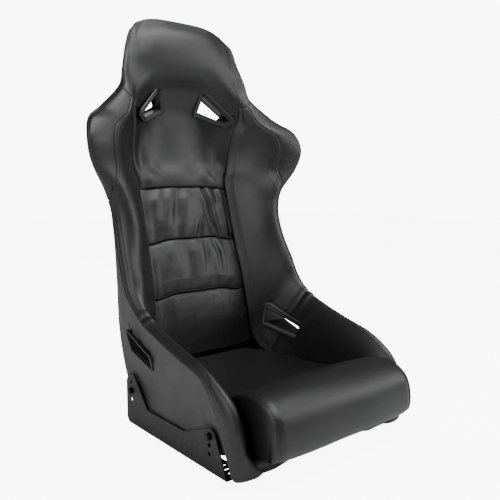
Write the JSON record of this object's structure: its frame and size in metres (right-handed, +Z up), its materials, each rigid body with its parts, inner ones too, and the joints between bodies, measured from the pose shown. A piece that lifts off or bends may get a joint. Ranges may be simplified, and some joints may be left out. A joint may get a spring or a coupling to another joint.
{
  "type": "racing seat",
  "caption": "Fixed-back racing bucket seat: moulded shell, padded bolsters and head wings, lift-out seat and back cushions, belt slots and folded steel side mounts.",
  "frame": {"origin": "centre of the bounding box in x and y, on the plane of the side mounts' undersides (z = 0)", "axes": "+X is the symmetry axis, towards the occupant's left side with the occupant facing -Y; -Y is forwards; +Z is up"},
  "size_m": [0.6086, 0.6277, 0.9243],
  "materials": {
    "leathercloth": "black grained leathercloth, semi-matt",
    "shell": "dark grey textured gel-coated laminate, matt",
    "foam": "open-cell upholstery foam, hidden",
    "steel": "black powder coat on folded steel plate",
    "bezel": "black moulded plastic, fine texture",
    "fastener": "black-oxide steel",
    "strip": "black woven tape and base cloth"
  },
  "bodies": {
    "seat_frame": {"back_hook_strip": "strip", "head_cover": "leathercloth", "head_foam": "foam", "left_back_bolster_cover": "leathercloth", "left_back_bolster_foam": "foam", "left_bracket": "steel", "left_front_bolt": "fastener", "left_front_insert": "fastener", "left_front_spacer": "fastener", "left_front_washer": "fastener", "left_lap_bezel_inner": "bezel", "left_lap_bezel_outer": "bezel", "left_rear_bolt": "fastener", "left_rear_insert": "fastener", "left_rear_spacer": "fastener", "left_rear_washer": "fastener", "left_shoulder_bezel_inner": "bezel", "left_shoulder_bezel_outer": "bezel", "left_thigh_bolster_cover": "leathercloth", "left_thigh_bolster_foam": "foam", "left_wing_foam": "foam", "left_wing_inner_cover": "leathercloth", "left_wing_outer_cover": "leathercloth", "right_back_bolster_cover": "leathercloth", "right_back_bolster_foam": "foam", "right_bracket": "steel", "right_front_bolt": "fastener", "right_front_insert": "fastener", "right_front_spacer": "fastener", "right_front_washer": "fastener", "right_lap_bezel_inner": "bezel", "right_lap_bezel_outer": "bezel", "right_rear_bolt": "fastener", "right_rear_insert": "fastener", "right_rear_spacer": "fastener", "right_rear_washer": "fastener", "right_shoulder_bezel_inner": "bezel", "right_shoulder_bezel_outer": "bezel", "right_thigh_bolster_cover": "leathercloth", "right_thigh_bolster_foam": "foam", "right_wing_foam": "foam", "right_wing_inner_cover": "leathercloth", "right_wing_outer_cover": "leathercloth", "seat_hook_strip": "strip", "shell": "shell", "upper_back_foam": "foam"},
    "seat_cushion": {"seat_cushion_cover": "leathercloth", "seat_cushion_foam": "foam", "left_seat_cushion_side": "leathercloth", "right_seat_cushion_side": "leathercloth", "seat_cushion_base_cloth": "strip", "seat_loop_strip": "strip"},
    "back_cushion": {"back_cushion_foam": "foam", "back_cushion_cover_lower": "leathercloth", "back_cushion_cover_middle": "leathercloth", "back_cushion_cover_upper": "leathercloth", "back_loop_strip": "strip", "side_tag": "strip"}
  },
  "joints": [
    {"name": "seat_cushion_lift", "type": "slide", "parent": "seat_frame", "child": "seat_cushion", "axis": [0, -0.6, 0.8], "range_m": [0, 0.08]},
    {"name": "back_cushion_pull", "type": "slide", "parent": "seat_frame", "child": "back_cushion", "axis": [0, -0.9962, 0.0872], "range_m": [0, 0.025]}
  ]
}
